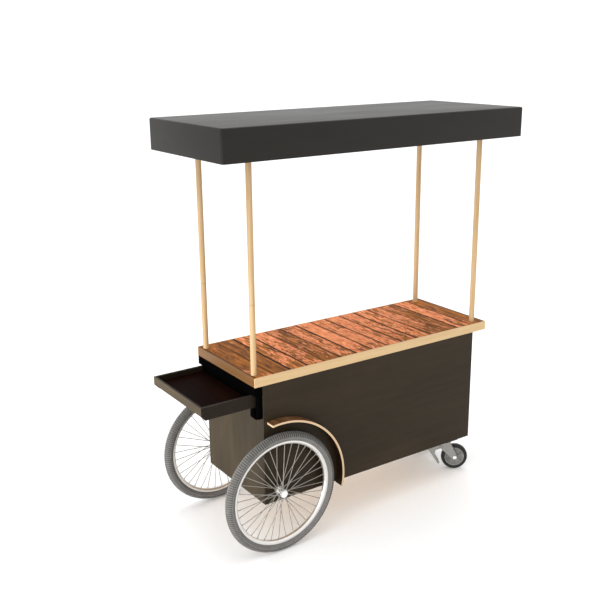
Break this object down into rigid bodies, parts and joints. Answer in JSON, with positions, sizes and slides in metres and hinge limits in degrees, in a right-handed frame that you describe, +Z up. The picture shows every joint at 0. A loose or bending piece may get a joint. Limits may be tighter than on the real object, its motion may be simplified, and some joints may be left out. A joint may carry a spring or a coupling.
{
  "type": "push vending cart",
  "caption": "Wheeled wooden vending cart: closed cabinet, planked counter, flat canopy on slim posts, folding end tray, spoked wheels and braked casters.",
  "frame": {"origin": "on the ground, under the middle of the whole cart's bounding box", "axes": "+Z up; -Y the customers' side; +Y the seller's side with the doors; -X the end with the spoked wheels and the tray"},
  "size_m": [2.004, 0.756, 2.195],
  "materials": {
    "charcoal_panel": "satin dark paint on plywood",
    "black_timber": "matte black paint on timber",
    "bare_timber": "clear-oiled plywood",
    "old_plank": "weathered reclaimed planks, oiled",
    "pale_wood": "satin varnished pale timber",
    "post_wood": "satin varnished pale dowel",
    "canopy_panel": "satin dark grey paint on light board",
    "fender_ply": "walnut-stained bent plywood with pale edges",
    "tyre_rubber": "matte grey-black rubber",
    "rim_alloy": "polished alloy",
    "spoke_steel": "bright plated steel",
    "zinc_steel": "zinc-plated pressed steel",
    "caster_hub": "grey moulded nylon",
    "caster_rubber": "black rubber",
    "brass": "satin brass"
  },
  "bodies": {
    "cart": {"front_panel": "charcoal_panel", "back_face_frame": "charcoal_panel", "left_end_panel": "charcoal_panel", "right_end_panel": "charcoal_panel", "floor_panel": "bare_timber", "inner_shelf": "bare_timber", "axle_bearer": "bare_timber", "caster_beam": "black_timber", "frame_hinge_leaf_left": "brass", "frame_hinge_leaf_right": "brass", "counter_sub_top": "bare_timber", "plank_deck": "old_plank", "edge_band_front": "pale_wood", "edge_band_back": "pale_wood", "edge_band_left": "pale_wood", "edge_band_right": "pale_wood", "lower_post_front_left": "post_wood", "lower_post_front_right": "post_wood", "lower_post_back_left": "post_wood", "lower_post_back_right": "post_wood", "axle": "zinc_steel", "axle_nut_front": "zinc_steel", "axle_nut_back": "zinc_steel", "fender_front": "fender_ply", "fender_back": "fender_ply", "caster_plate_front": "zinc_steel", "caster_plate_back": "zinc_steel", "apron": "black_timber", "tray_leg_front": "black_timber", "tray_leg_back": "black_timber"},
    "canopy": {"upper_post_front_left": "post_wood", "upper_post_front_right": "post_wood", "upper_post_back_left": "post_wood", "upper_post_back_right": "post_wood", "canopy_shell": "canopy_panel", "canopy_frame": "bare_timber"},
    "left_door": {"door_left": "charcoal_panel", "door_hinge_leaf_left": "brass", "door_knob_left": "brass"},
    "right_door": {"door_right": "charcoal_panel", "door_hinge_leaf_right": "brass", "door_knob_right": "brass"},
    "front_wheel": {"tyre_front": "tyre_rubber", "rim_front": "rim_alloy", "spoked_hub_front": "spoke_steel"},
    "back_wheel": {"tyre_back": "tyre_rubber", "rim_back": "rim_alloy", "spoked_hub_back": "spoke_steel"},
    "front_caster": {"caster_fork_front": "zinc_steel", "caster_bolt_front": "zinc_steel"},
    "back_caster": {"caster_fork_back": "zinc_steel", "caster_bolt_back": "zinc_steel"},
    "front_caster_wheel": {"caster_core_front": "caster_hub", "caster_tyre_front": "caster_rubber"},
    "back_caster_wheel": {"caster_core_back": "caster_hub", "caster_tyre_back": "caster_rubber"},
    "front_brake": {"brake_pedal_front": "zinc_steel"},
    "back_brake": {"brake_pedal_back": "zinc_steel"},
    "tray": {"tray_frame": "charcoal_panel", "tray_floor": "black_timber"}
  },
  "joints": [
    {"name": "canopy_lift", "type": "slide", "parent": "cart", "child": "canopy", "axis": [0, 0, 1], "range_m": [0, 0.055]},
    {"name": "front_wheel_spin", "type": "hinge", "parent": "cart", "child": "front_wheel", "pos_m": [-0.601, -0.342, 0.33], "axis": [0, 1, 0], "continuous": true},
    {"name": "back_wheel_spin", "type": "hinge", "parent": "cart", "child": "back_wheel", "pos_m": [-0.601, 0.342, 0.33], "axis": [0, 1, 0], "continuous": true},
    {"name": "front_caster_swivel", "type": "hinge", "parent": "cart", "child": "front_caster", "pos_m": [0.72, -0.152, 0.193], "axis": [0, 0, 1], "continuous": true},
    {"name": "front_caster_roll", "type": "hinge", "parent": "front_caster", "child": "front_caster_wheel", "pos_m": [0.76974, -0.18555, 0.08], "axis": [0.5592, 0.829, 0], "continuous": true},
    {"name": "front_brake_press", "type": "hinge", "parent": "front_caster", "child": "front_brake", "pos_m": [0.70508, -0.14194, 0.152], "axis": [-0.5592, -0.829, 0], "range_deg": [0, 5]},
    {"name": "back_caster_swivel", "type": "hinge", "parent": "cart", "child": "back_caster", "pos_m": [0.72, 0.152, 0.193], "axis": [0, 0, 1], "continuous": true},
    {"name": "back_caster_roll", "type": "hinge", "parent": "back_caster", "child": "back_caster_wheel", "pos_m": [0.76974, 0.11845, 0.08], "axis": [0.5592, 0.829, 0], "continuous": true},
    {"name": "back_brake_press", "type": "hinge", "parent": "back_caster", "child": "back_brake", "pos_m": [0.70508, 0.16206, 0.152], "axis": [-0.5592, -0.829, 0], "range_deg": [0, 5]},
    {"name": "tray_fold", "type": "hinge", "parent": "cart", "child": "tray", "pos_m": [-0.685, 0, 0.81], "axis": [0, -1, 0], "range_deg": [0, 90]},
    {"name": "left_door_swing", "type": "hinge", "parent": "cart", "child": "left_door", "pos_m": [-0.155, 0.2993, 0.585], "axis": [0, 0, 1], "range_deg": [0, 100]},
    {"name": "right_door_swing", "type": "hinge", "parent": "cart", "child": "right_door", "pos_m": [0.725, 0.2993, 0.585], "axis": [0, 0, -1], "range_deg": [0, 100]}
  ]
}
